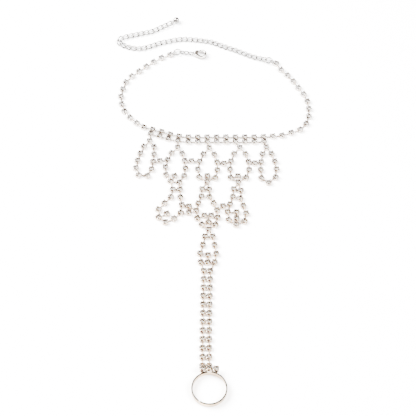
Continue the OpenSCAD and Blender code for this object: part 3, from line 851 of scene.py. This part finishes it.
def spaced(route, count):
    """Points at even spacing along a route, from its start to its end."""
    runs = [0.0]
    for a, b in zip(route, route[1:]):
        runs.append(runs[-1] + (b - a).length)
    found = []
    for i in range(count):
        at = runs[-1] * i / (count - 1)
        k = max(j for j in range(len(route) - 1) if runs[j] <= at + 1e-12)
        share = (at - runs[k]) / (runs[k + 1] - runs[k])
        found.append(route[k].lerp(route[k + 1], share))
    return found


def extender():
    """The extender's twisted links, which rise at each end to hook into the ring and the ball's eye."""
    ring, route = extender_route()
    out = (route[0] - ring).normalized()
    end = (route[-1] - route[-2]).normalized()
    reach = EYE_GAP - EYE_R + EYE_WIRE / 2 + EXTENDER_WIRE + LINK_SLACK - EXTENDER_L / 2
    first = first_link("extender_ring", EXTENDER_L, EXTENDER_WIRE)
    line = [ring + out * first] + route[1:-1] + [route[-1] + end * reach * MM]
    length = sum((b - a).length for a, b in zip(line, line[1:]))
    count = math.ceil(length / link_pitch(EXTENDER_L, EXTENDER_WIRE)) + 1
    spots = spaced(line, count)
    links = []
    for i, spot in enumerate(spots):
        ahead = spots[min(i + 1, count - 1)] - spots[max(i - 1, 0)]
        near_end = max(0, 1 - min(i, count - 1 - i) / EASE_LINKS)
        rise = (EXTENDER_H / 2 + (EYE_Z - EXTENDER_H / 2) * near_end) * MM
        links.append(link_at(EXTENDER_LINK, (spot.x, spot.y, rise), math.atan2(ahead.y, ahead.x)))
    finished(fuse("extender_links", links), "silver", "extender_chain")


def extender_ball():
    """The ball at the extender's end, its eye and the neck between them."""
    low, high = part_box("extender_ball")
    ball_r = (high.z - low.z) / 2
    route = extender_route()[1]
    way = (route[-1] - route[-2]).normalized()
    heading = math.atan2(way.y, way.x)
    eye = route[-1] + way * EYE_GAP * MM
    centre = eye + way * BALL_GAP * MM
    ball = primitive("ball", bpy.ops.mesh.primitive_uv_sphere_add, segments=32, ring_count=18,
                     radius=ball_r / MM, location=(0, 0, 0))
    smooth(ball, 180)
    ball.data.materials.append(WIRE_SILVER)
    parts = [twin(ball, Matrix.Translation((centre.x, centre.y, ball_r)) @ Matrix.Rotation(heading, 4, "Z")
                  @ Matrix.Scale(MM, 4)),
             twin(EYE, Matrix.Translation((eye.x, eye.y, EYE_Z * MM)) @ Matrix.Rotation(heading, 4, "Z")
                  @ Matrix.Rotation(math.pi / 2, 4, "X") @ Matrix.Scale(MM, 4))]
    bpy.data.objects.remove(ball)
    finished(fuse("end_ball", parts), "silver", "extender_ball")


def cast_from(node, name, body):
    """A cast part: the solid's own form with its edges rounded as if polished."""
    part = bpy.data.objects.new(name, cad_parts[node].data.copy())
    bpy.context.collection.objects.link(part)
    part.data.materials.clear()
    part.data.transform(Matrix.Scale(1 / MM, 4))
    edit(part)
    bpy.ops.mesh.remove_doubles(threshold=WELD)
    bpy.ops.mesh.normals_make_consistent(inside=False)
    done()
    finish_with(part, "REMESH", mode="VOXEL", voxel_size=CAST_GRAIN)
    finish_with(part, "SMOOTH", factor=0.5, iterations=POLISH_STROKES)
    part.data.transform(Matrix.Scale(MM, 4))
    smooth(part, 180)
    part.data.materials.append(CAST_SILVER)
    finished(part, "silver", node, body=body)


jump_rings()
clasp_links()
extender()
extender_ball()
cast_from("clasp_body", "clasp_hook", "jewel")
cast_from("clasp_lever", "clasp_thumb_lever", "lever")
for master in (CUP, STONE, BAR, EYE, LINK, EXTENDER_LINK):
    bpy.data.objects.remove(master)


# Studio.

def floor():
    """A pale sheet just under the jewel."""
    sheet = primitive("floor", bpy.ops.mesh.primitive_plane_add, size=FLOOR_SIZE,
                      location=(0, 0, -FLOOR_DROP * MM))
    sheet.data.materials.append(pale_floor())


def area_light(name, place, size, watts, colour):
    """A round soft light that faces the jewel."""
    lamp = bpy.data.lights.new(name, "AREA")
    lamp.shape = "DISK"
    lamp.size = size
    lamp.energy = watts
    lamp.color = colour
    light = bpy.data.objects.new(name, lamp)
    bpy.context.collection.objects.link(light)
    light.location = place
    light.rotation_euler = (AIM - light.location).to_track_quat("-Z", "Y").to_euler()


def studio_world():
    """A pale room that darkens towards its walls, so that facets and wire have something to mirror."""
    world = bpy.data.worlds.new("studio")
    bpy.context.scene.world = world
    world.use_nodes = True
    tree = world.node_tree
    way = add_node(tree, "ShaderNodeTexCoord").outputs["Generated"]
    rise = add_node(tree, "ShaderNodeSeparateXYZ", {"Vector": way}).outputs["Z"]
    ramp = add_node(tree, "ShaderNodeValToRGB", {"Fac": rise})
    stops = ramp.color_ramp.elements
    stops[0].position = 0.0
    stops[0].color = (0.26, 0.18, 0.13, 1)
    stops[1].position = 1.0
    stops[1].color = (0.45, 0.37, 0.31, 1)
    for position, shade in ROOM_SHADES:
        stop = stops.new(position)
        stop.color = (*(shade * share for share in ROOM_TINT), 1)
    background = tree.nodes["Background"]
    tree.links.new(ramp.outputs["Color"], background.inputs["Color"])
    background.inputs["Strength"].default_value = 1.0


def camera():
    """The camera, at the photograph's angle and distance."""
    lens = bpy.data.cameras.new("camera")
    lens.lens = CAMERA_LENS
    lens.sensor_width = SENSOR_W
    lens.clip_start = 0.01
    view = bpy.data.objects.new("camera", lens)
    bpy.context.collection.objects.link(view)
    back = Vector((0, -math.cos(CAMERA_RISE), math.sin(CAMERA_RISE)))
    view.location = AIM + back * CAMERA_DISTANCE
    view.rotation_euler = (math.pi / 2 - CAMERA_RISE, 0, 0)
    bpy.context.scene.camera = view


floor()
studio_world()
area_light("key", (-0.75, 0.38, 0.8), 0.9, 250, (1.0, 0.995, 0.985))
area_light("fill", (0.65, -0.15, 0.8), 0.7, 105, (0.985, 0.99, 1.0))
camera()
